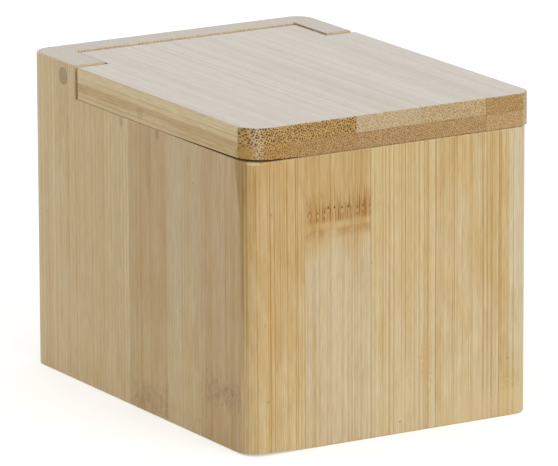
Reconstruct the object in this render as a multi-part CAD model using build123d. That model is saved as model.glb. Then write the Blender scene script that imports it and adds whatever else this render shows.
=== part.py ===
from build123d import *

import os

# Bamboo salt box with a lid that turns on two dowel pins. The walls, base and lid are boards glued up from
# bamboo staves, and each stave is a node of its own. The origin is at the middle of the underside, +X to the
# right, +Y to the rear and +Z up, in millimetres.

# Overall box
box_width = 99.6
box_shift = -0.2           # of the box's middle; the lid reaches out to the right
box_depth = 133.0
box_height = 100.0
corner_radius = 6.2        # upright outer corners
front_left_radius = 5.0    # of the one that is sanded less
front_wall = 10.0          # thicknesses
rear_wall = 9.2
left_wall = 10.6
right_wall = 9.0
base_thickness = 6.0
corner_lap = 5.0           # how far the front and rear boards lap over the ends of the side boards

# Staves: each board has whole ones in the middle and trimmed ones at its two edges
stave_width = 22.9
trimmed_staves = 2         # in each board, one at each edge
wall_stave_count = 5       # across the front and rear walls
side_stave_count = 6
lid_stave_count = 5
base_stave_count = 4
wall_stave_shift = 3.55    # of the whole staves, to the right of the box's middle
lid_stave_shift = -1.25
side_last_seam = 15.8      # from the rear of the box

# Lid
ply_thickness = 5.0
lid_set_down = 0.3         # lid top under the tops of the ears and rail
lid_seat_gap = 0.1         # under the closed lid
lid_front_inset = 0.3
lid_left_inset = 0.2
lid_right_overhang = 0.8
lid_left_corner_radius = 8.0
lid_right_corner_radius = 6.0
tongue_side_gap = 0.7      # on each side, between the tongue and an ear
tongue_rear_gap = 0.8      # between the tongue and the rail
tongue_rear_round = 1.5    # lets the tongue turn past the rail
shoulder_gap = 1.2         # between the lid's shoulders and the ears

# Ears and hinge pins
ear_depth = 28.9           # from the rear of the box to the front of an ear
ear_front_round = 0.7      # lets the shoulders turn past the ears
pin_from_rear = 21.4
pin_below_top = 4.5
pin_radius = 2.8
pin_length = 25.0
pin_chamfer = 0.4
pin_clearance = 0.05       # radial, in the lid
pin_end_gap = 0.5          # past the pin's inner end, in the lid

# Edges that are sanded round
rim_round = 0.5            # tops of the ears and rail, and the underside of the box
slot_round = 0.2           # edge of the slot in which the tongue lies
seat_round = 0.5           # outer edge of the seat under the lid
lid_round = 0.3            # top edge of the lid

# The undersides of the lid and the box rise a little towards their front left corners, so the closed lid
# shows a fine dark gap there
lid_rise = 0.7             # at the corner
lid_rise_along_side = 50.0
lid_rise_along_front = 20.0
foot_rise = 0.95
foot_rise_along_side = 9.0
foot_rise_along_front = 26.0

# Places that follow from the sizes above
left, right = box_shift - box_width / 2, box_shift + box_width / 2
front, rear = -box_depth / 2, box_depth / 2
inner_left, inner_right = left + left_wall, right - right_wall
inner_front, inner_rear = front + front_wall, rear - rear_wall
ear_front = rear - ear_depth
pin_y = rear - pin_from_rear
pin_z = box_height - pin_below_top
lid_top = box_height - lid_set_down
ply_seam = lid_top - ply_thickness
lid_bottom = ply_seam - ply_thickness
seat_height = lid_bottom - lid_seat_gap
lid_left, lid_right = left + lid_left_inset, right + lid_right_overhang
lid_front = front + lid_front_inset
shoulder = ear_front - shoulder_gap
tongue_left, tongue_right = inner_left + tongue_side_gap, inner_right - tongue_side_gap
tongue_rear = inner_rear - tongue_rear_gap
beyond = 5.0               # by which a cutting block passes the faces that it cuts


def block(x, y, z):
    """A block between two values on each axis."""
    low = (x[0], y[0], z[0])
    size = (x[1] - x[0], y[1] - y[0], z[1] - z[0])
    return Pos(*low) * Box(*size, align=(Align.MIN, Align.MIN, Align.MIN))


def rod(radius, start, end):
    """A round rod on the hinge axis, between two values of X."""
    upright = Cylinder(radius, end - start, align=(Align.CENTER, Align.CENTER, Align.MIN))
    return Pos(start, pin_y, pin_z) * Rot(0, 90, 0) * upright


def sliver(x, y, z, rise, along_side, along_front):
    """What is missing under a front left corner at (x, y), where a flat underside at height z rises."""
    above = (x, y, z + rise)
    below = (x, y, z - rise)
    side_end = (x, y + along_side, z)
    front_end = (x + along_front, y, z)
    sides = (
        (above, side_end, front_end),
        (below, side_end, front_end),
        (above, side_end, below),
        (above, front_end, below),
    )
    return Solid(Shell([make_face(Polyline(*side, close=True)).face() for side in sides]))


def rounded_prism(height, top_round):
    """The outside of the box up to a height, with its top and bottom edges rounded."""
    plan = make_face((Pos(box_shift, 0) * Rectangle(box_width, box_depth)).wire())
    front_left, *others = plan.vertices().sort_by(lambda corner: corner.X + corner.Y)
    plan = fillet(others, corner_radius)
    front_left = plan.vertices().sort_by(lambda corner: corner.X + corner.Y)[0]
    plan = fillet(front_left, front_left_radius)
    prism = extrude(plan, height)
    prism = fillet(prism.faces().sort_by(Axis.Z)[-1].edges(), top_round)
    return fillet(prism.faces().sort_by(Axis.Z)[0].edges(), rim_round)


def box_body():
    """Walls and base together, before they are divided into boards."""
    low_part = rounded_prism(seat_height, seat_round)
    ears_and_rail = block((left - beyond, right + beyond), (ear_front, rear + beyond), (0, box_height))
    front_top_edge = ears_and_rail.edges().filter_by(Axis.X).group_by(Axis.Y)[0].sort_by(Axis.Z)[-1]
    ears_and_rail = fillet(front_top_edge, ear_front_round)
    shape = low_part + (rounded_prism(box_height, rim_round) & ears_and_rail)
    shape -= block(
        (inner_left, inner_right), (inner_front, inner_rear), (base_thickness, box_height + beyond)
    )
    slot_edges = shape.faces().sort_by(Axis.Z)[-1].edges()
    slot_edges = slot_edges.filter_by_position(Axis.X, inner_left, inner_right)
    slot_edges = slot_edges.filter_by_position(Axis.Y, ear_front, inner_rear)
    shape = fillet(slot_edges, slot_round)
    for start, end in ((left - beyond, inner_left + beyond), (inner_right - beyond, right + beyond)):
        shape -= rod(pin_radius, start, end)
    shape -= sliver(left, front, 0, foot_rise, foot_rise_along_side, foot_rise_along_front)
    return shape


def lid_body():
    """Both plies of the lid together, with the bores for the pins."""
    outline = (
        (lid_left, lid_front),
        (lid_right, lid_front),
        (lid_right, shoulder),
        (tongue_right, shoulder),
        (tongue_right, tongue_rear),
        (tongue_left, tongue_rear),
        (tongue_left, shoulder),
        (lid_left, shoulder),
    )
    plan = make_face(Polyline(*outline, close=True))
    front_corners = plan.vertices().group_by(Axis.Y)[0].sort_by(Axis.X)
    plan = fillet(front_corners[0], lid_left_corner_radius)
    front_corners = plan.vertices().group_by(Axis.Y)[0].sort_by(Axis.X)
    plan = fillet(front_corners[-1], lid_right_corner_radius)
    shape = Pos(0, 0, lid_bottom) * extrude(plan, 2 * ply_thickness)
    rear_top_edge = shape.edges().filter_by(Axis.X).group_by(Axis.Y)[-1].sort_by(Axis.Z)[-1]
    shape = fillet(rear_top_edge, tongue_rear_round)
    shape = fillet(shape.faces().sort_by(Axis.Z)[-1].edges(), lid_round)
    bore_radius = pin_radius + pin_clearance
    bore_depth = pin_length + pin_end_gap
    shape -= rod(bore_radius, left, left + bore_depth)
    shape -= rod(bore_radius, right - bore_depth, right)
    corner = (lid_left, lid_front, lid_bottom)
    shape -= sliver(*corner, lid_rise, lid_rise_along_side, lid_rise_along_front)
    return shape


def stave_edges(low, high, count, middle):
    """Where the staves of a board begin and end, with its whole staves centred on middle."""
    first_seam = middle - (count - trimmed_staves) / 2 * stave_width
    seams = [first_seam + number * stave_width for number in range(count - 1)]
    return [low, *seams, high]


def export_staves(name, board, axis, edges):
    """Divides a board at its seams along X or Y, and writes one file for each stave."""
    everywhere = (-2 * box_depth, 2 * box_depth)
    for number, span in enumerate(zip(edges[:-1], edges[1:]), start=1):
        slab = block(span if axis == "X" else everywhere, span if axis == "Y" else everywhere, everywhere)
        export_step(board & slab, f"parts/{name}_stave_{number}.step")


def hinge_pin(outer_end, inner_end):
    """A dowel flush with the outside of its ear, with its inner end chamfered."""
    pin = rod(pin_radius, min(outer_end, inner_end), max(outer_end, inner_end))
    end_edges = pin.edges().filter_by(GeomType.CIRCLE).sort_by(Axis.X)
    inner_edge = end_edges[-1] if inner_end > outer_end else end_edges[0]
    return chamfer(inner_edge, pin_chamfer)


def main():
    os.makedirs("parts", exist_ok=True)
    body = box_body()
    tall = (-beyond, box_height + beyond)
    lap_front, lap_rear = front + corner_lap, rear - corner_lap

    front_board = block((left, right), (front, lap_front), tall)
    front_board += block((inner_left, inner_right), (lap_front, inner_front), tall)
    rear_board = block((left, right), (lap_rear, rear), tall)
    rear_board += block((inner_left, inner_right), (inner_rear, lap_rear), tall)
    across = stave_edges(left, right, wall_stave_count, wall_stave_shift)
    export_staves("front_wall", body & front_board, "X", across)
    export_staves("rear_wall", body & rear_board, "X", across)

    side_middle = rear - side_last_seam - (side_stave_count - trimmed_staves) / 2 * stave_width
    along = stave_edges(lap_front, lap_rear, side_stave_count, side_middle)
    export_staves("left_wall", body & block((left, inner_left), (lap_front, lap_rear), tall), "Y", along)
    export_staves("right_wall", body & block((inner_right, right), (lap_front, lap_rear), tall), "Y", along)

    floor = body & block((inner_left, inner_right), (inner_front, inner_rear), tall)
    base_middle = (inner_left + inner_right) / 2
    export_staves("base", floor, "X", stave_edges(inner_left, inner_right, base_stave_count, base_middle))

    lid = lid_body()
    lid_span = (lid_left - beyond, lid_right + beyond)
    lid_reach = (lid_front - beyond, tongue_rear + beyond)
    upper_ply = lid & block(lid_span, lid_reach, (ply_seam, lid_top + beyond))
    lower_ply = lid & block(lid_span, lid_reach, (lid_bottom - beyond, ply_seam))
    lid_edges = stave_edges(lid_left, lid_right, lid_stave_count, lid_stave_shift)
    export_staves("lid_upper", upper_ply, "X", lid_edges)
    export_staves("lid_lower", lower_ply, "X", lid_edges)

    export_step(hinge_pin(left, left + pin_length), "parts/left_hinge_pin.step")
    export_step(hinge_pin(right, right - pin_length), "parts/right_hinge_pin.step")


main()
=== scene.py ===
import math

import bpy
from mathutils import Matrix, Vector


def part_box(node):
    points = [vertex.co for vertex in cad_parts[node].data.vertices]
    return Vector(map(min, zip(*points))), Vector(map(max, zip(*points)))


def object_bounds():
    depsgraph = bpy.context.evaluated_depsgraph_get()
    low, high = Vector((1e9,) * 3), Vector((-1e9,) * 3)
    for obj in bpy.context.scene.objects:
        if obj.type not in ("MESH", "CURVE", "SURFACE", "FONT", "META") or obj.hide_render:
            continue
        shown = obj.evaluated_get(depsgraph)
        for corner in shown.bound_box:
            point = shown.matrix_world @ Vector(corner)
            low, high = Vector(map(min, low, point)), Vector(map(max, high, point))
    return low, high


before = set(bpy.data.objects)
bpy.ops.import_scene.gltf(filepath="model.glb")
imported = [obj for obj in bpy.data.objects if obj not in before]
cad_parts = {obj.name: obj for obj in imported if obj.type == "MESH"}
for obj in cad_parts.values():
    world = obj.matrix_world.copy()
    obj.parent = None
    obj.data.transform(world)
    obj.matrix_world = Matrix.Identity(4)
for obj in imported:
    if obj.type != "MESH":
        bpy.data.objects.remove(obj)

cad_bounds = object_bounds()

# Camera, in metres and degrees: the box is seen from its front left, from a long way off
IMAGE_WIDTH = 558
FOCAL_PIXELS = 6315.0
SENSOR_WIDTH = 36.0
CAMERA_AZIMUTH = -31.02
CAMERA_ELEVATION = 13.83
CAMERA_ROLL = -0.20
CAMERA_DISTANCE = 1.9428
CAMERA_TARGET = (0.0, -0.0004, 0.0487)
CAMERA_CLIP = (0.1, 50.0)

# Light: an even sky, and one large lamp low in front, to the right
SKY_LEVEL = 0.69
KEY_LEVEL = 0.42
KEY_DIRECTION = (0.25, -0.95, 0.15)   # from the box towards the lamp
KEY_SOFTNESS = 50.0                   # degrees across
FLOOR_SIZE = 12.0
FLOOR_ALBEDO = 0.90
FLOOR_ROUGHNESS = 0.9
FLOOR_LIFT = 0.44                     # brings the lit floor to white for the camera
FLOOR_GLOSS_LIFT = 0.10               # and for what the lacquer reflects
GLARE = (0.93, 1.00, 1.07)            # the sky as the lacquer reflects it, a little cool
WHITE = (1.0, 1.0, 1.0)

# Lacquer: a full coat on faces that look up, and a thin one on upright faces
LACQUER_IOR = 1.35
LACQUER_ROUGHNESS = 0.2
THIN_LACQUER = 0.2

# The box's own faces, from the frame, in mm
MM = 1000.0                           # to a metre
X, Y, Z = 0, 1, 2
LEFT_FACE, FRONT_FACE = [round(cad_bounds[0][axis] * MM, 3) for axis in (X, Y)]
BOX_TOP = round(cad_bounds[1][Z] * MM, 3)

# Bamboo as a solid texture, in mm
SEED_MOVES = (17.3, 31.7, 53.1)       # across, through and along the grain, per unit of the seed
STAVE_SEED_STEP = 3.7                 # from one stave of a board to the next
BUNDLE_COS, BUNDLE_SIN = 0.906, 0.423   # of 25 degrees, by which the rows of bundles are turned
GLUE_STRENGTH = 0.24
GLUE_REACH = (0.04, 0.22)             # from a seam: its line starts to fade, and is gone
BUMP_STRENGTH = 0.15
BUMP_DISTANCE = 0.1
BORDER_DRIFT = (250.0, 250.0, 60.0)   # how fast a border between tones wavers, per metre on each axis
BARE_TO = BOX_TOP - 5.0               # end grain is lacquered on the tops of the ears and the rail

# Directions
RIGHT, UP = (1.0, 0.0, 0.0), (0.0, 0.0, 1.0)
FRONT, DOWN = (0.0, -1.0, 0.0), (0.0, 0.0, -1.0)

# Tones of bamboo, as linear colours
HONEY = (0.595, 0.420, 0.190)
AMBER = (0.565, 0.375, 0.150)
ROSE = (0.588, 0.405, 0.200)
STRAW = (0.625, 0.465, 0.228)
GOLD = (0.650, 0.495, 0.250)
CREAM = (0.640, 0.510, 0.300)
BLOND = (0.660, 0.500, 0.256)
PALE = (0.710, 0.545, 0.300)
IVORY = (0.745, 0.590, 0.335)
OAT = (0.598, 0.441, 0.262)
DUSKY = (0.465, 0.345, 0.190)
SAND = (0.600, 0.450, 0.245)
FAWN = (0.605, 0.472, 0.278)
MILKY = (0.652, 0.540, 0.345)
# CHALK is painted light, for the top of the rail in the gap under the lid
CHALK = (0.760, 0.650, 0.450)
OLIVE = (0.425, 0.275, 0.050)

# The pale and deep bands of a stave add these to its tone, and its lines have these shares of it
PALER = (0.070, 0.100, 0.110)
DEEPER = (-0.070, -0.100, -0.110)
DEEPEST_SHARE = 0.35                  # of the tone, below which a deep band doesn't go
LINE = (0.69, 0.50, 0.22)

# End grain: its ground, and its dots, which are the ends of the fibre bundles
DOTTED = ((0.555, 0.352, 0.135), (0.125, 0.045, 0.000))
SPECKLED = ((0.555, 0.342, 0.120), (0.135, 0.050, 0.000))
FINE = ((0.590, 0.443, 0.258), (0.405, 0.288, 0.147))
LIGHT = ((0.587, 0.423, 0.231), (0.357, 0.235, 0.101))
ORANGE = ((0.493, 0.305, 0.123), (0.291, 0.155, 0.035))
BROWN = ((0.519, 0.311, 0.108), (0.234, 0.106, 0.005))
RUSSET = ((0.503, 0.313, 0.131), (0.241, 0.119, 0.019))
ROSY = ((0.489, 0.312, 0.143), (0.283, 0.156, 0.045))
TAN = ((0.509, 0.332, 0.150), (0.270, 0.150, 0.038))
SOFT = ((0.544, 0.365, 0.175), (0.344, 0.209, 0.074))
SANDED = ((0.490, 0.335, 0.150), (0.415, 0.270, 0.105))
DOWEL = (DUSKY, (0.390, 0.280, 0.140))

# Small stains
BRUISE = (0.260, 0.160, 0.000)
MAUVE = (0.420, 0.280, 0.140)
SAWN = (0.450, 0.280, 0.075)

# Marks that any stave may have: a node of the cane, specks, glue, and end grain that is paler where
# it turns round an edge, partly wear and partly a painted highlight
NODE_STAIN = (0.310, 0.130, 0.008)
NODE_PIT = (0.130, 0.040, 0.000)
NODE_HEART = (0.660, 0.540, 0.360)
NODE_BLOTCH = (0.370, 0.230, 0.110)
SPECK = (0.130, 0.075, 0.030)
GLUE = (0.240, 0.120, 0.025)
WEAR_AND_GLINT_END = (0.640, 0.500, 0.320)


def opaque(colour):
    """A colour as a colour socket takes it."""
    return (*colour, 1.0)


def shades(tone):
    """The colours of a stave's bands and lines, by the names of the sockets that take them."""
    deep = [max(level + change, DEEPEST_SHARE * level) for level, change in zip(tone, DEEPER)]
    return {
        "Pale": opaque(level + change for level, change in zip(tone, PALER)),
        "Deep": opaque(deep),
        "Line": opaque(level * share for level, share in zip(tone, LINE)),
    }


class Graph:
    """Short ways to add shader nodes to a tree."""

    def __init__(self, tree):
        self.tree = tree

    def feed(self, socket, value):
        if isinstance(value, bpy.types.NodeSocket):
            self.tree.links.new(value, socket)
        else:
            socket.default_value = value

    def node(self, kind, inputs=None, **settings):
        made = self.tree.nodes.new(kind)
        for name, value in settings.items():
            setattr(made, name, value)
        for socket, value in (inputs or {}).items():
            self.feed(made.inputs[socket], value)
        return made

    def math(self, operation, a, b=0.0, clamp=False):
        made = self.node("ShaderNodeMath", {0: a, 1: b}, operation=operation, use_clamp=clamp)
        return made.outputs[0]

    def add(self, a, b):
        return self.math("ADD", a, b)

    def times(self, *factors):
        product = factors[0]
        for factor in factors[1:]:
            product = self.math("MULTIPLY", product, factor)
        return product

    def most(self, a, b):
        return self.math("MAXIMUM", a, b)

    def around_zero(self, value, reach):
        """A value from 0 to 1 moved to run from -reach to reach."""
        return self.times(self.add(value, -0.5), 2.0 * reach)

    def vector(self, x, y, z=0.0):
        return self.node("ShaderNodeCombineXYZ", {0: x, 1: y, 2: z}).outputs[0]

    def noise(self, vector, detail=2.0, roughness=0.5):
        inputs = {"Vector": vector, "Scale": 1.0, "Detail": detail, "Roughness": roughness}
        return self.node("ShaderNodeTexNoise", inputs).outputs["Fac"]

    def nearest(self, dimensions, **inputs):
        """Distance to the nearest of many scattered points, and a random value of that point."""
        inputs = {"Scale": 1.0, **inputs}
        made = self.node("ShaderNodeTexVoronoi", inputs, voronoi_dimensions=dimensions)
        colour = self.node("ShaderNodeSeparateXYZ", {0: made.outputs["Color"]})
        return made.outputs["Distance"], colour.outputs[0]

    def vector_math(self, operation, *inputs):
        made = self.node("ShaderNodeVectorMath", dict(enumerate(inputs)), operation=operation)
        return made.outputs["Value" if operation in ("LENGTH", "DOT_PRODUCT") else "Vector"]

    def scaled(self, vector, factor):
        made = self.node("ShaderNodeVectorMath", {0: vector, "Scale": factor}, operation="SCALE")
        return made.outputs[0]

    def ramp(self, value, low, high, start=0.0, end=1.0):
        """Goes smoothly from start to end as value goes from low to high."""
        made = self.node(
            "ShaderNodeMapRange",
            {"Value": value, "From Min": low, "From Max": high, "To Min": start, "To Max": end},
            interpolation_type="SMOOTHSTEP",
        )
        return made.outputs["Result"]

    def mix(self, factor, a, b):
        made = self.node("ShaderNodeMix", data_type="RGBA")
        self.feed(made.inputs[0], factor)
        self.feed(made.inputs[6], a)
        self.feed(made.inputs[7], b)
        return made.outputs[2]


def stretched(g, place, across, along):
    """A place in a pattern whose forms have a given size across and along the grain, in mm."""
    u, v, w = place
    return g.vector(g.times(u, 1 / across), g.times(v, 1 / across), g.times(w, 1 / along))


def node_pattern(g, u, v, past):
    """A node of the cane, at past = 0: brown streaks, a row of pits and a faint ring below."""
    streak_place = g.vector(g.times(u, 3.4), g.times(v, 3.4), g.times(past, 0.12))
    streaks = g.ramp(g.noise(streak_place, 3.0, 0.70), 0.47, 0.59)
    reach = g.noise(g.vector(g.times(u, 1.3), g.times(v, 1.3)), 2.0)
    top = g.add(g.times(g.ramp(reach, 0.35, 0.68), 14.0), 2.0)
    upper = g.times(g.ramp(past, -3.4, -2.0), g.ramp(past, 0.3, top, 1.0, 0.0))
    haze = g.noise(g.vector(g.times(u, 0.5), g.times(v, 0.5), g.times(past, 0.3)), 2.0)
    ring = g.times(g.ramp(past, -8.5, -5.4), g.ramp(past, -5.2, -4.2, 1.0, 0.0))
    ring = g.times(ring, g.ramp(haze, 0.35, 0.6))
    stain = g.most(g.times(upper, g.add(g.times(streaks, 0.85), 0.15)), g.times(ring, 0.35))

    # Each pit is a dark speck, a pale one under it and a fainter dark one under that
    column_distance, chance = g.nearest("1D", W=g.times(u, 0.43), Randomness=0.6)
    column = g.ramp(column_distance, 0.07, 0.15, 1.0, 0.0)
    above = g.add(past, g.around_zero(chance, 0.7))
    upper_end = g.times(g.ramp(above, 0.5, 0.8), g.ramp(above, 1.1, 1.5, 1.0, 0.0))
    lower_end = g.times(g.ramp(above, -1.7, -1.2), g.ramp(above, -0.9, -0.5, 1.0, 0.0))
    lower_end = g.times(lower_end, g.ramp(chance, 0.3, 0.8))
    pits = g.times(column, g.most(upper_end, g.times(lower_end, 0.7)))
    pits = g.times(pits, g.ramp(chance, 0.1, 0.9, 1.0, 0.6))
    hearts = g.times(column, g.ramp(g.math("ABSOLUTE", above), 0.2, 0.6, 1.0, 0.0))
    return stain, pits, hearts


def with_node(g, given, place, colour):
    """A colour with the node of the cane over it, and the depth of the node's pits."""
    u, v, w = place
    wander = g.noise(g.vector(g.times(u, 0.16), g.times(v, 0.16)), 2.0)
    past = g.times(g.math("SUBTRACT", given["Along"], given["Node at"]), MM)
    past = g.add(past, g.around_zero(wander, 0.8))
    stain, pits, hearts = node_pattern(g, u, v, past)
    side = g.math("SUBTRACT", 1.0, given["End"])
    strength = g.times(given["Node strength"], side)
    colour = g.mix(g.times(stain, strength), colour, opaque(NODE_STAIN))
    deep_strength = g.ramp(strength, 0.4, 0.9)
    pits = g.times(pits, deep_strength)
    colour = g.mix(g.times(hearts, deep_strength, 0.30), colour, opaque(NODE_HEART))
    colour = g.mix(pits, colour, opaque(NODE_PIT))

    # Where a node was planed almost away, only faint blotches are left
    blotch = g.noise(g.vector(g.times(u, 0.70), g.times(v, 0.70), g.times(w, 0.45)), 4.0, 0.75)
    blotch = g.times(g.ramp(blotch, 0.38, 0.66), g.ramp(past, -8.5, -1.5))
    blotch = g.times(blotch, g.ramp(past, 1.0, 8.5, 1.0, 0.0))
    faint = g.times(blotch, given["Blotches"], side)
    return g.mix(faint, colour, opaque(NODE_BLOTCH)), pits


def fibres(g, place, size):
    """Bundles of fibre, thin hairs, and the lines that both draw along the sides of a stave."""
    u, v, _ = place
    bundle_u = g.math("DIVIDE", g.add(g.times(u, BUNDLE_COS), g.times(v, -BUNDLE_SIN)), size)
    bundle_v = g.math("DIVIDE", g.add(g.times(u, BUNDLE_SIN), g.times(v, BUNDLE_COS)), size)
    distance, chance = g.nearest("2D", Vector=g.vector(bundle_u, bundle_v), Randomness=0.6)
    radius = g.add(g.times(chance, 0.16), 0.22)
    bundles = g.ramp(distance, g.times(radius, 0.8), g.times(radius, 1.25), 1.0, 0.0)
    cores = g.ramp(distance, g.times(radius, 0.2), g.times(radius, 0.72), 1.0, 0.0)
    hair_place = g.vector(g.times(u, 2.0), g.times(v, 2.0))
    hair_distance, hair_chance = g.nearest("2D", Vector=hair_place)
    hairs = g.ramp(hair_distance, 0.16, 0.36, 1.0, 0.0)
    fading = g.ramp(g.noise(stretched(g, place, 1.2, 60.0), 1.0), 0.34, 0.60, 0.25, 1.0)
    strong = g.times(cores, g.add(g.times(chance, 0.7), 0.3), fading)
    return bundles, hairs, g.most(strong, g.times(hairs, hair_chance, 0.9))


def side_grain(g, given, place, grain, lines):
    """The colour of a stave's sides: soft bands and clouds, lines, hairlines and short flecks."""
    broad = g.around_zero(g.noise(stretched(g, place, 6.0, 260.0), 1.0), 0.35)
    narrow = g.around_zero(g.noise(stretched(g, place, 1.6, 220.0), 1.0), 0.25)
    clouds = g.around_zero(g.noise(stretched(g, place, 4.5, 16.0), 2.0), 0.30)
    flecks = g.around_zero(g.noise(stretched(g, place, 0.45, 5.0), 1.0), 0.18)
    hairlines = g.add(g.ramp(grain, 0.50, 0.74), -0.17)
    tone = g.times(g.add(broad, narrow), given["Bands"])
    tone = g.add(tone, g.add(clouds, g.times(hairlines, 0.63, given["Lines"])))
    colour = g.mix(g.math("ADD", tone, 0.5, clamp=True), given["Pale"], given["Deep"])
    colour = g.mix(g.times(lines, given["Lines"]), colour, given["Line"])
    shade = g.add(flecks, g.times(hairlines, -0.13, given["Lines"]))
    return g.scaled(colour, g.add(shade, 1.0))


def end_grain(g, given, place, bundles, hairs):
    """The colour of a stave's ends: dots on a mottled ground, which is paler where it turns round an
    edge, partly wear and partly a painted highlight.
    """
    u, v, _ = place
    mottle = g.noise(g.vector(g.times(u, 0.5), g.times(v, 0.5)), 3.0)
    mottle = g.ramp(mottle, 0.35, 0.70, 0.0, 0.3)
    ground = g.mix(mottle, given["End ground"], given["End dots"])
    # paler where the end grain turns round an edge: partly wear, partly a painted highlight
    ground = g.mix(g.times(given["Wear and glint"], 0.6), ground, opaque(WEAR_AND_GLINT_END))
    return g.mix(g.most(bundles, g.times(hairs, 0.18)), ground, given["End dots"])


def bamboo_group():
    """Bamboo as a solid texture: fibre bundles run along the grain and show as dots on its ends."""
    tree = bpy.data.node_groups.new("bamboo", "ShaderNodeTree")
    numbers = ("Across", "Through", "Along", "End", "Seed", "Bundle", "Bands", "Lines", "Seam",
               "Wear and glint", "Node at", "Node strength", "Blotches")
    for in_out, kind, names in (
        ("INPUT", "NodeSocketFloat", numbers),
        ("INPUT", "NodeSocketColor", ("Pale", "Deep", "Line", "End ground", "End dots")),
        ("OUTPUT", "NodeSocketColor", ("Color",)),
        ("OUTPUT", "NodeSocketFloat", ("Roughness", "Height")),
    ):
        for name in names:
            tree.interface.new_socket(name, in_out=in_out, socket_type=kind)
    g = Graph(tree)
    given = g.node("NodeGroupInput").outputs

    # The place in the texture, moved by the seed so that no two staves are cut from the same cane
    u, v, w = [
        g.add(g.times(given[name], MM), g.times(given["Seed"], move))
        for name, move in zip(("Across", "Through", "Along"), SEED_MOVES)
    ]
    sway = g.noise(g.vector(g.times(u, 0.05), g.times(v, 0.05), g.times(w, 0.018)), 1.0)
    place = (g.add(u, g.around_zero(sway, 0.35)), v, w)

    grain = g.noise(stretched(g, place, 0.40, 220.0), 1.0)
    bundles, hairs, lines = fibres(g, place, given["Bundle"])
    side_colour = side_grain(g, given, place, grain, lines)
    end_colour = end_grain(g, given, place, bundles, hairs)
    colour = g.mix(given["End"], side_colour, end_colour)
    colour, pits = with_node(g, given, place, colour)

    # Stray specks, and the thin dark lines of glue
    speck_place = g.vector(*[g.times(part, 0.085) for part in place])
    speck_distance, _ = g.nearest("3D", Vector=speck_place)
    specks = g.ramp(speck_distance, 0.018, 0.042, 1.0, 0.0)
    colour = g.mix(g.times(specks, 0.45), colour, opaque(SPECK))
    colour = g.mix(g.times(given["Seam"], GLUE_STRENGTH), colour, opaque(GLUE))

    roughness = g.add(g.times(grain, 0.10), g.add(g.times(lines, 0.06), 0.30))
    fibre_depth = g.add(lines, g.times(given["End"], bundles))
    height = g.add(g.times(grain, 0.4), g.times(fibre_depth, -0.5))
    height = g.add(height, g.times(pits, -1.0))
    out = g.node("NodeGroupOutput")
    g.feed(out.inputs["Color"], colour)
    g.feed(out.inputs["Roughness"], roughness)
    g.feed(out.inputs["Height"], height)


def seam_share(g, place, seams):
    """1 on the lines of glue, and 0 a little away from them."""
    share = 0.0
    fading, gone = [reach / MM for reach in GLUE_REACH]
    for axis, at in seams:
        from_seam = g.math("ABSOLUTE", g.math("SUBTRACT", place[axis], at / MM))
        share = g.most(share, g.ramp(from_seam, fading, gone, 1.0, 0.0))
    return share


def blended_shades(g, position, tone, others):
    """The shades of a tone, which give way to those of the others along uneven borders."""
    blended = shades(tone)
    if not others:
        return blended
    drift = g.noise(g.vector_math("MULTIPLY", position, BORDER_DRIFT))
    for other_tone, direction, whole_at, gone_at in others:
        reached = g.vector_math("DOT_PRODUCT", position, direction)
        wobble = g.around_zero(drift, 0.6 * abs(gone_at - whole_at) / MM)
        share = g.ramp(g.add(reached, wobble), whole_at / MM, gone_at / MM, 1.0, 0.0)
        for socket, shade in shades(other_tone).items():
            blended[socket] = g.mix(share, blended[socket], shade)
    return blended


def with_stains_and_highlights(g, position, colour, marks):
    """A colour with small ragged marks over it: stains, and pale patches that are partly painted
    highlights.
    """
    for middle, reach, stain, strength in marks:
        per_reach = [MM / length for length in reach]
        shift = [-at / length for at, length in zip(middle, reach)]
        from_middle = g.vector_math("MULTIPLY_ADD", position, per_reach, shift)
        ragged = g.around_zero(g.noise(g.scaled(position, 0.9 * MM), 3.0), 0.7)
        distance = g.add(g.vector_math("LENGTH", from_middle), ragged)
        colour = g.mix(g.ramp(distance, 0.5, 1.05, strength, 0.0), colour, opaque(stain))
    return colour


def lacquer_share(g, place, facing, end_share, bare_to):
    """A full coat on faces that look up, a thin one on upright faces and none on bare ones."""
    below = g.ramp(place[Z], bare_to / MM, (bare_to + 1.0) / MM, 1.0, 0.0)
    bare = g.times(end_share, below)
    share = g.ramp(facing[Z], 0.3, 0.9, THIN_LACQUER, 1.0)
    return g.times(share, g.ramp(facing[Z], -0.9, -0.5), g.math("SUBTRACT", 1.0, bare))


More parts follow.
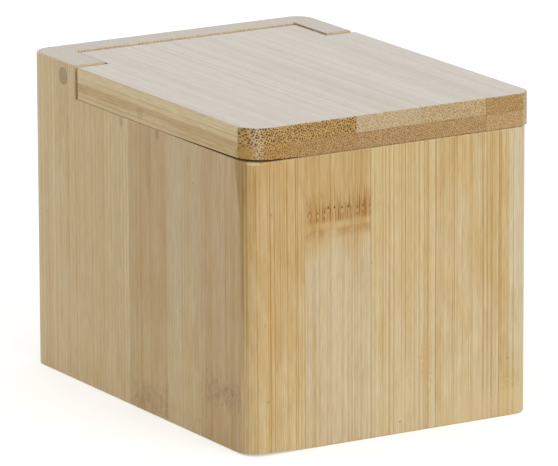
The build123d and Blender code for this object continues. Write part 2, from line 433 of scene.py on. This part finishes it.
def bamboo(name, axes, tone, seed, others=(), end=SANDED, end_from=(0.75, 0.95), seams=(),
           bundle=1.0, bands=1.0, lines=0.6, cane_node=(0.0, 0.0, 0.0), marks=(), bare_to=BARE_TO):
    """The material of one stave, with all its lengths in mm.

    - axes: which of X, Y and Z run across, through and along the grain
    - tone: the main one
    - seed: which part of the cane the stave is cut from
    - others: further tones, each with a direction and the two places along it at which the tone is
      whole and is gone
    - end: the colours of the end grain
    - end_from: the parts of the normal along the grain at which end grain starts and is whole
    - seams: the lines of glue, each with its axis and its place along it
    - bundle: how far apart the bundles of fibre lie
    - bands and lines: how strongly they show
    - cane_node: the place of a node of the cane along the grain, how strongly its streaks and pits
      show, and how strongly its blotches do
    - marks: small stains, and pale patches that are partly painted highlights, each with its middle,
      its reach, its colour and its strength
    - bare_to: the height up to which end grain has no lacquer. The underside has none anywhere.
    """
    material = bpy.data.materials.new(name)
    material.use_nodes = True
    g = Graph(material.node_tree)
    shader = material.node_tree.nodes["Principled BSDF"]
    coordinates = g.node("ShaderNodeTexCoord").outputs
    position = coordinates["Object"]
    place = g.node("ShaderNodeSeparateXYZ", {0: position}).outputs
    facing = g.node("ShaderNodeSeparateXYZ", {0: coordinates["Normal"]}).outputs
    across, through, along = ["XYZ".index(letter) for letter in axes]
    turned = g.math("ABSOLUTE", facing[along])
    end_share = g.ramp(turned, *end_from)
    values = {
        "Across": place[across], "Through": place[through], "Along": place[along],
        "End": end_share,
        "End ground": opaque(end[0]), "End dots": opaque(end[1]),
        # End grain that turns round an edge is painted paler: partly wear, partly a painted highlight
        "Wear and glint": g.times(g.ramp(turned, 0.60, 0.78), g.ramp(turned, 0.90, 0.97, 1.0, 0.0)),
        "Seed": seed, "Bundle": bundle, "Bands": bands, "Lines": lines,
        "Seam": seam_share(g, place, seams),
        "Node at": cane_node[0] / MM, "Node strength": cane_node[1], "Blotches": cane_node[2],
        **blended_shades(g, position, tone, others),
    }
    group = g.node("ShaderNodeGroup", values, node_tree=bpy.data.node_groups["bamboo"]).outputs
    bump = g.node("ShaderNodeBump", {
        "Height": group["Height"], "Strength": BUMP_STRENGTH, "Distance": BUMP_DISTANCE / MM,
    })
    g.feed(shader.inputs["Base Color"], with_stains_and_highlights(g, position, group["Color"], marks))
    g.feed(shader.inputs["Roughness"], group["Roughness"])
    g.feed(shader.inputs["Normal"], bump.outputs[0])
    coat = lacquer_share(g, place, facing, end_share, bare_to)
    g.feed(shader.inputs["Coat Weight"], coat)
    shader.inputs["IOR"].default_value = LACQUER_IOR
    shader.inputs["Coat IOR"].default_value = LACQUER_IOR
    shader.inputs["Coat Roughness"].default_value = LACQUER_ROUGHNESS
    return material


def dress(node, material):
    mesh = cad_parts[node].data
    mesh.materials.clear()
    mesh.materials.append(material)


def stave_seams(names, axis):
    """Where the staves of a board meet along an axis: at the lower side of each but the first."""
    lows = sorted(round(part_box(name)[0][axis] * MM, 3) for name in names)
    return [(axis, low) for low in lows[1:]]


def make_camera():
    azimuth, elevation = math.radians(CAMERA_AZIMUTH), math.radians(CAMERA_ELEVATION)
    roll = math.radians(CAMERA_ROLL)
    level = math.cos(elevation)
    forward = Vector((-math.sin(azimuth) * level, math.cos(azimuth) * level, -math.sin(elevation)))
    level_right = Vector((math.cos(azimuth), math.sin(azimuth), 0.0))
    level_up = level_right.cross(forward)
    right = level_right * math.cos(roll) + level_up * math.sin(roll)
    up = level_up * math.cos(roll) - level_right * math.sin(roll)
    data = bpy.data.cameras.new("camera")
    data.sensor_width = SENSOR_WIDTH
    data.lens = FOCAL_PIXELS * SENSOR_WIDTH / IMAGE_WIDTH
    data.clip_start, data.clip_end = CAMERA_CLIP
    camera = bpy.data.objects.new("camera", data)
    turn = Matrix((right, up, -forward)).transposed().to_4x4()
    stand = Vector(CAMERA_TARGET) - forward * CAMERA_DISTANCE
    camera.matrix_world = Matrix.Translation(stand) @ turn
    bpy.context.collection.objects.link(camera)
    bpy.context.scene.camera = camera


def make_light():
    """The sky, which looks brighter to the camera and the lacquer than it lights, and the lamp."""
    world = bpy.data.worlds.new("studio")
    bpy.context.scene.world = world
    world.use_nodes = True
    g = Graph(world.node_tree)
    background = world.node_tree.nodes["Background"]
    rays = g.node("ShaderNodeLightPath").outputs
    colour = g.mix(rays["Is Glossy Ray"], opaque(WHITE), opaque(GLARE))
    g.feed(background.inputs["Color"], colour)
    seen = g.most(rays["Is Camera Ray"], rays["Is Transmission Ray"])
    seen = g.most(seen, rays["Is Glossy Ray"])
    g.feed(background.inputs["Strength"], g.ramp(seen, 0.0, 1.0, SKY_LEVEL, 1.0))

    key = bpy.data.lights.new("key", "SUN")
    key.energy = KEY_LEVEL * math.pi
    key.angle = math.radians(KEY_SOFTNESS)
    lamp = bpy.data.objects.new("key", key)
    lamp.rotation_euler = Vector(KEY_DIRECTION).to_track_quat("Z", "Y").to_euler()
    bpy.context.collection.objects.link(lamp)


def make_floor():
    """A floor that looks as white as the sky, apart from the object's shadow."""
    half = FLOOR_SIZE / 2
    mesh = bpy.data.meshes.new("floor")
    corners = [(-half, -half, 0), (half, -half, 0), (half, half, 0), (-half, half, 0)]
    mesh.from_pydata(corners, [], [(0, 1, 2, 3)])
    floor = bpy.data.objects.new("floor", mesh)
    bpy.context.collection.objects.link(floor)
    material = bpy.data.materials.new("floor")
    material.use_nodes = True
    g = Graph(material.node_tree)
    shader = material.node_tree.nodes["Principled BSDF"]
    shader.inputs["Base Color"].default_value = opaque([FLOOR_ALBEDO] * 3)
    shader.inputs["Roughness"].default_value = FLOOR_ROUGHNESS
    shader.inputs["Specular IOR Level"].default_value = 0.0
    rays = g.node("ShaderNodeLightPath").outputs
    camera_lift = g.times(rays["Is Camera Ray"], FLOOR_LIFT)
    lift = g.most(camera_lift, g.times(rays["Is Glossy Ray"], FLOOR_GLOSS_LIFT))
    shader.inputs["Emission Color"].default_value = opaque(WHITE)
    g.feed(shader.inputs["Emission Strength"], lift)
    mesh.materials.append(material)


def dress_board(board, axes, looks, first_seed, extra_seams=(), **shared):
    """Gives each stave of a board its own look, in order along the axis on which the staves lie."""
    names = [f"{board}_stave_{number}" for number in range(1, len(looks) + 1)]
    seams = stave_seams(names, "XYZ".index(axes[0])) + list(extra_seams)
    for number, (name, look) in enumerate(zip(names, looks)):
        seed = first_seed + STAVE_SEED_STEP * number
        dress(name, bamboo(name, axes, seed=seed, seams=seams, **shared, **look))


def dress_front_wall():
    """Each look is one stave, from left to right."""
    olive_edge = (OLIVE, (1.0, 0.0, -0.012), LEFT_FACE - 0.8, LEFT_FACE - 0.1)    # wider at the top
    straw_edge = (STRAW, RIGHT, 41.1, 41.6)                         # a strip beside the last seam
    dress_board("front_wall", "XYZ", (
        dict(tone=AMBER, others=((STRAW, UP, -10.0, 70.0), olive_edge), bands=0.1, lines=0.80,
             marks=(
                 # a pale patch on the rim at the corner: partly wear, partly a painted highlight
                 # where the rim catches the light
                 ((LEFT_FACE + 1.8, FRONT_FACE + 0.5, 89.6), (3.4, 3.0, 0.9), IVORY, 0.7),
                 ((-42.4, FRONT_FACE, 73.5), (0.5, 1.0, 0.8), BRUISE, 0.35),
                 ((-44.6, FRONT_FACE, 40.0), (0.5, 1.0, 0.7), BRUISE, 0.35),
                 ((-43.6, FRONT_FACE, 16.5), (0.5, 1.0, 0.8), BRUISE, 0.35))),
        dict(tone=AMBER, others=((FAWN, UP, 52.0, 70.0),), bands=0.6, lines=0.50,
             cane_node=(71.5, 1.0, 0.0), marks=(
                 ((-30.8, FRONT_FACE, 71.0), (1.6, 2.0, 7.0), AMBER, 0.8),)),
        dict(tone=STRAW, others=((CREAM, UP, -10.0, 90.0),), bands=0.4, lines=0.90,
             marks=(
                 ((11.8, FRONT_FACE, 22.0), (2.4, 2.0, 12.0), AMBER, 0.55),
                 ((4.0, FRONT_FACE, 12.0), (2.6, 2.0, 9.0), PALE, 0.45))),
        dict(tone=HONEY, others=((CREAM, UP, -30.0, 110.0),), bands=0.2, lines=0.90,
             marks=(
                 ((27.0, FRONT_FACE, 1.0), (16.0, 5.0, 11.0), BLOND, 0.50),)),
        dict(tone=MILKY, others=((STRAW, UP, -10.0, 40.0), straw_edge), bands=0.6, lines=0.85,
             marks=(
                 ((40.0, FRONT_FACE, 1.0), (22.0, 5.0, 12.0), PALE, 0.45),)),
    ), first_seed=19.0)


def dress_rear_wall():
    """Each look is one stave, from left to right."""
    # Painted light: the top of the rail is paler and greyer than its wood, so that the narrow gap
    # under the lid looks lit
    painted_light_rim = (CHALK, DOWN, 0.8 - BOX_TOP, 1.1 - BOX_TOP)          # on the very top of the rail
    dress_board("rear_wall", "XYZ", (
        dict(tone=STRAW, others=(painted_light_rim,), lines=0.7),
        dict(tone=HONEY, others=(painted_light_rim,), lines=0.8),
        dict(tone=CREAM, others=(painted_light_rim,), lines=0.6),
        dict(tone=STRAW, others=((CREAM, UP, 14.0, 28.0), painted_light_rim), lines=0.7,
             cane_node=(31.0, 0.9, 0.0)),
        dict(tone=ROSE, others=(painted_light_rim,), lines=0.7),
    ), first_seed=17.1)


def dress_left_wall():
    """Each look is one stave, from front to rear."""
    olive_edge = (OLIVE, (0.0, 1.0, -0.2), FRONT_FACE - 10.0, FRONT_FACE - 8.5)   # wider at the top
    rose_edge = (ROSE, FRONT, 41.5, 31.0)                           # beside the first seam
    dress_board("left_wall", "YXZ", (
        dict(tone=ROSE, others=(olive_edge,), bands=0.7, lines=0.45,
             cane_node=(16.5, 0.0, 0.65), marks=(
                 ((LEFT_FACE, -52.6, 18.1), (1.0, 1.1, 1.0), BRUISE, 0.45),
                 ((LEFT_FACE, -56.4, 17.3), (1.0, 1.0, 0.9), BRUISE, 0.45))),
        dict(tone=SAND, others=((BLOND, UP, -10.0, 90.0), rose_edge), bands=0.8, lines=0.45),
        dict(tone=ROSE, others=((BLOND, UP, -50.0, 60.0),), bands=0.8, lines=0.45,
             cane_node=(4.5, 0.0, 0.60), marks=(
                 ((LEFT_FACE, -12.6, 88.6), (1.0, 1.4, 2.4), BRUISE, 0.45),
                 ((LEFT_FACE, -7.0, 80.0), (1.0, 2.2, 16.0), MAUVE, 0.4))),
        dict(tone=BLOND, others=((PALE, UP, -30.0, 60.0),), bands=0.8, lines=0.45,
             marks=(
                 ((LEFT_FACE, 9.3, 88.0), (1.0, 1.3, 2.2), BRUISE, 0.35),
                 ((LEFT_FACE, 11.5, 40.0), (1.0, 2.0, 3.5), IVORY, 0.4))),
        dict(tone=BLOND, others=((PALE, UP, -10.0, 90.0),), bands=0.8, lines=0.42),
        dict(tone=PALE, bands=0.8, lines=0.42),
    ), first_seed=15.2)


def dress_right_wall():
    """Each look is one stave, from front to rear."""
    dress_board("right_wall", "YXZ", (
        dict(tone=STRAW, lines=0.6), dict(tone=GOLD, lines=0.6, cane_node=(56.0, 0.8, 0.0)),
        dict(tone=HONEY, lines=0.7), dict(tone=STRAW, lines=0.6), dict(tone=CREAM, lines=0.5),
        dict(tone=STRAW, lines=0.6),
    ), first_seed=20.9)


def dress_lid():
    """Two plies of staves, from left to right. Their end grain shows far round the front corners."""
    ply_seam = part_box("lid_upper_stave_1")[0][Z] * MM
    shared = dict(end_from=(0.12, 0.22), extra_seams=[(Z, ply_seam)], bare_to=BOX_TOP)
    # Painted light: the lid's left side is paler than its top, as if more light fell on it
    painted_light_left_side = (IVORY, (1.0, 0.0, 1.0), 49.8, 50.1)               # the left side, not the top
    honey_side = (HONEY, (-1.0, 0.0, 1.0), 49.0, 49.3)              # the right side, not the top
    dress_board("lid_upper", "XZY", (
        dict(tone=OAT, others=(painted_light_left_side,), end=DOTTED, bundle=0.75, bands=0.8, lines=0.5),
        dict(tone=OAT, end=SPECKLED, bundle=0.73, lines=0.7),
        dict(tone=OAT, end=FINE, bundle=0.82, lines=0.7),
        dict(tone=OAT, end=LIGHT, bundle=0.86, lines=0.7,
             marks=(
                 ((14.5, 24.5, BOX_TOP), (2.2, 7.0, 1.0), MAUVE, 0.25),)),
        dict(tone=OAT, others=(honey_side,), end=ORANGE, bundle=0.7, lines=0.5),
    ), first_seed=21.3, **shared)
    rose_top = (ROSE, DOWN, 0.1 - ply_seam, 2.7 - ply_seam)
    dress_board("lid_lower", "XZY", (
        dict(tone=STRAW, others=((BLOND, FRONT, -20.0, 40.0), rose_top), end=BROWN, bundle=0.68,
             lines=0.5, marks=(
                 ((LEFT_FACE, -2.0, 93.0), (1.0, 2.6, 3.0), MAUVE, 0.4),
                 ((LEFT_FACE + 1.4, FRONT_FACE + 4.7, 92.1), (3.2, 4.4, 2.7), SAWN, 0.85))),
        dict(tone=STRAW, end=RUSSET, bundle=0.64, lines=0.6),
        dict(tone=ROSE, end=ROSY, bundle=0.80, lines=0.6),
        dict(tone=STRAW, end=TAN, bundle=0.65, lines=0.6),
        dict(tone=CREAM, end=SOFT, bundle=0.7, lines=0.6),
    ), first_seed=32.9, **shared)


def dress_base():
    looks = [dict(tone=tone, lines=0.6) for tone in (STRAW, CREAM, HONEY, STRAW)]
    dress_board("base", "XZY", looks, first_seed=40.0)


def dress_pins():
    for name, seed in (("left_hinge_pin", 60.0), ("right_hinge_pin", 61.0)):
        dress(name, bamboo(name, "YZX", tone=DUSKY, seed=seed, end=DOWEL, bundle=0.5))


bamboo_group()
make_camera()
make_light()
make_floor()
bpy.context.scene.view_settings.view_transform = "Standard"
dress_front_wall()
dress_rear_wall()
dress_left_wall()
dress_right_wall()
dress_lid()
dress_base()
dress_pins()
